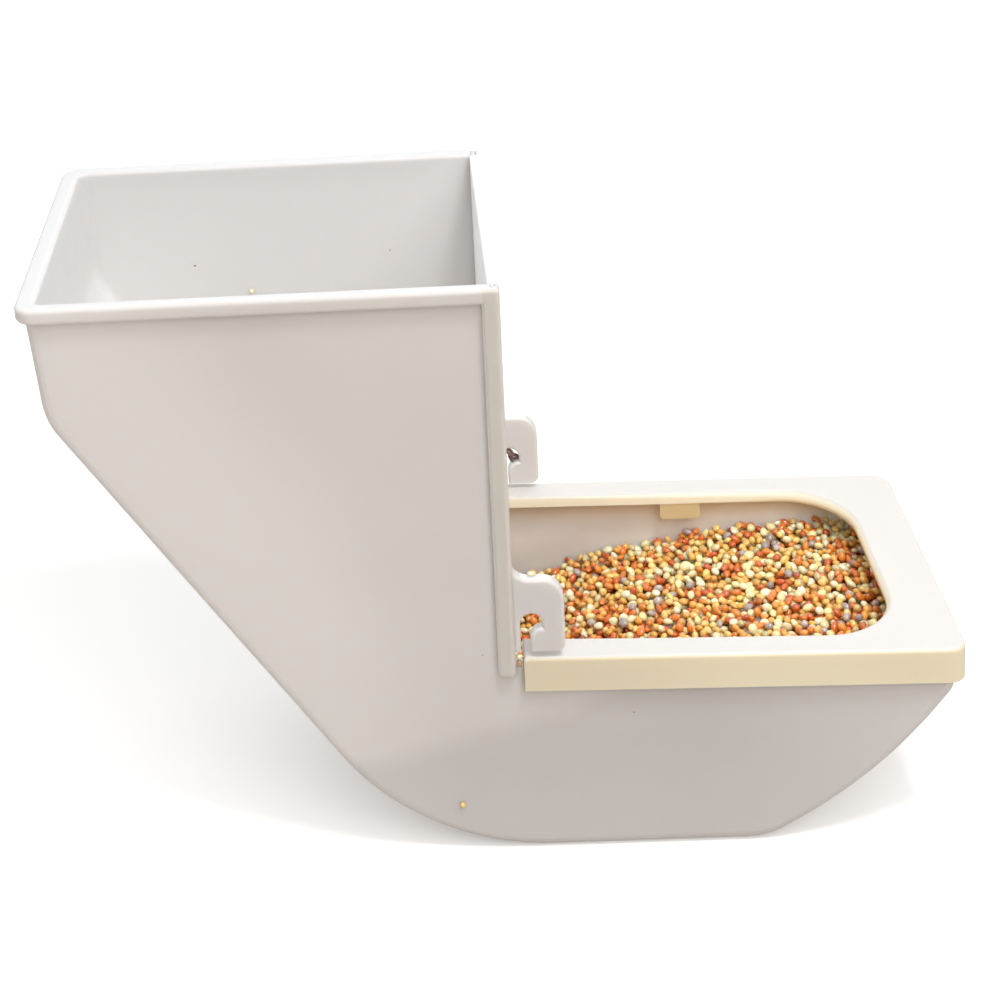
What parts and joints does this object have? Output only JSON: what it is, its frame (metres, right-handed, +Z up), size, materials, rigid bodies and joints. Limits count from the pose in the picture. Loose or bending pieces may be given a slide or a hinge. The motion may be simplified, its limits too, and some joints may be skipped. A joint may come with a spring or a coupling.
{
  "type": "hopper feeder",
  "caption": "Hanging gravity feeder: an open hopper over a sloped chute that fills a trough, with a slide-in front panel, wire hooks and a clip-on anti-spill rim.",
  "frame": {"origin": "centre of the flat base, on the plane of symmetry", "axes": "+X from the hopper's back to the trough's outer end, +Y across, +Z up"},
  "size_m": [0.25, 0.102, 0.174],
  "materials": {
    "white_plastic": "off-white moulded polypropylene, slightly translucent, satin gloss",
    "panel_plastic": "off-white moulded polypropylene, satin gloss",
    "cream_plastic": "ivory moulded polypropylene, gloss",
    "mixed_seed": "mixed millet and small seed, glossy husks"
  },
  "bodies": {
    "hopper_body": {"body": "white_plastic", "feed": "mixed_seed"},
    "panel": {"front_panel": "panel_plastic"},
    "rim": {"trough_rim": "cream_plastic"}
  },
  "joints": [
    {"name": "panel_lift", "type": "slide", "parent": "hopper_body", "child": "panel", "axis": [0, 0, 1], "range_m": [0, 0.13]},
    {"name": "rim_draw", "type": "slide", "parent": "hopper_body", "child": "rim", "axis": [0.9945, 0, 0.1045], "range_m": [0, 0.13]}
  ]
}
